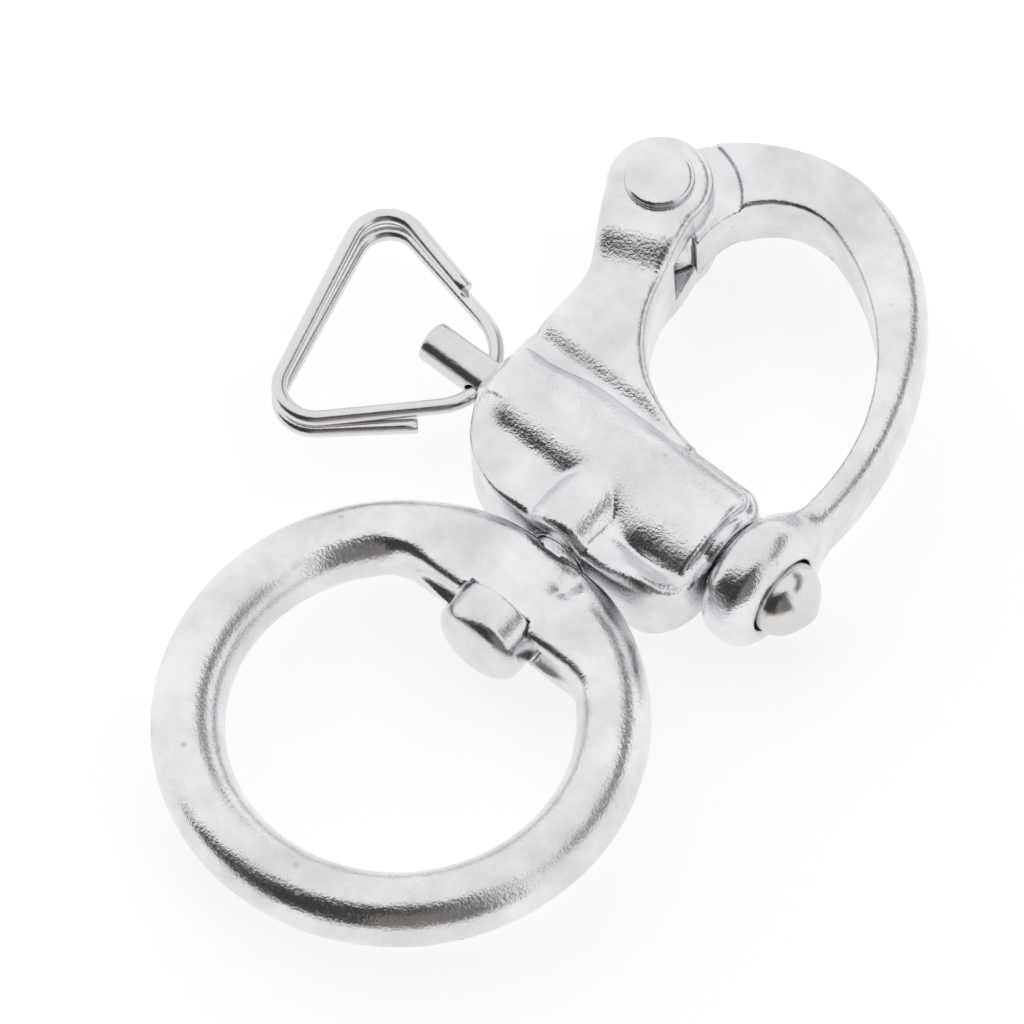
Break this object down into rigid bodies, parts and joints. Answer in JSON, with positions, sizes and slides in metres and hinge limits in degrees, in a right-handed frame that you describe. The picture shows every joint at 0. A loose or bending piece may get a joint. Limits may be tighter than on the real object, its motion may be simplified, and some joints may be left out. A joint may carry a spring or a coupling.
{
  "type": "snap shackle",
  "caption": "Swivel-eye snap shackle: a spring plunger with a pull ring locks a hinged bail, for quick-release rigging.",
  "frame": {"origin": "centre of the swivel eye's opening, at mid thickness", "axes": "+Y along the line of pull from the eye to the bail, +X along the plunger towards its domed nose, +Z out of the flat front"},
  "size_m": [0.0572, 0.0869, 0.0142],
  "materials": {
    "cast_steel": "polished casting, fine orange-peel grain",
    "eye_steel": "polished casting with small pits",
    "turned_steel": "satin polished",
    "plunger_steel": "bright polished",
    "spring_steel": "drawn wire",
    "wire_steel": "drawn and polished wire"
  },
  "bodies": {
    "housing": {"body": "cast_steel", "pivot_rivet": "turned_steel", "swivel_pin": "turned_steel", "plunger_spring": "spring_steel"},
    "bail": {"bail": "cast_steel"},
    "plunger": {"plunger": "plunger_steel"},
    "pull_ring": {"pull_ring": "wire_steel"},
    "swivel_eye": {"swivel_eye": "eye_steel"}
  },
  "joints": [
    {"name": "bail_pivot", "type": "hinge", "parent": "housing", "child": "bail", "pos_m": [-0.0155, 0.0531, 0], "axis": [0, 0, 1], "range_deg": [0, 104]},
    {"name": "plunger_slide", "type": "slide", "parent": "housing", "child": "plunger", "axis": [-1, 0, 0], "range_m": [0, 0.0092], "stiffness_N_per_m": 800, "springref_m": -0.003, "deforming": ["plunger_spring"]},
    {"name": "pull_ring_swing", "type": "hinge", "parent": "plunger", "child": "pull_ring", "pos_m": [-0.01662, 0.0307, 0], "axis": [0, 1, 0], "range_deg": [-85, 85]},
    {"name": "swivel", "type": "hinge", "parent": "housing", "child": "swivel_eye", "pos_m": [0, 0.0175, 0], "axis": [0, 1, 0], "continuous": true}
  ]
}
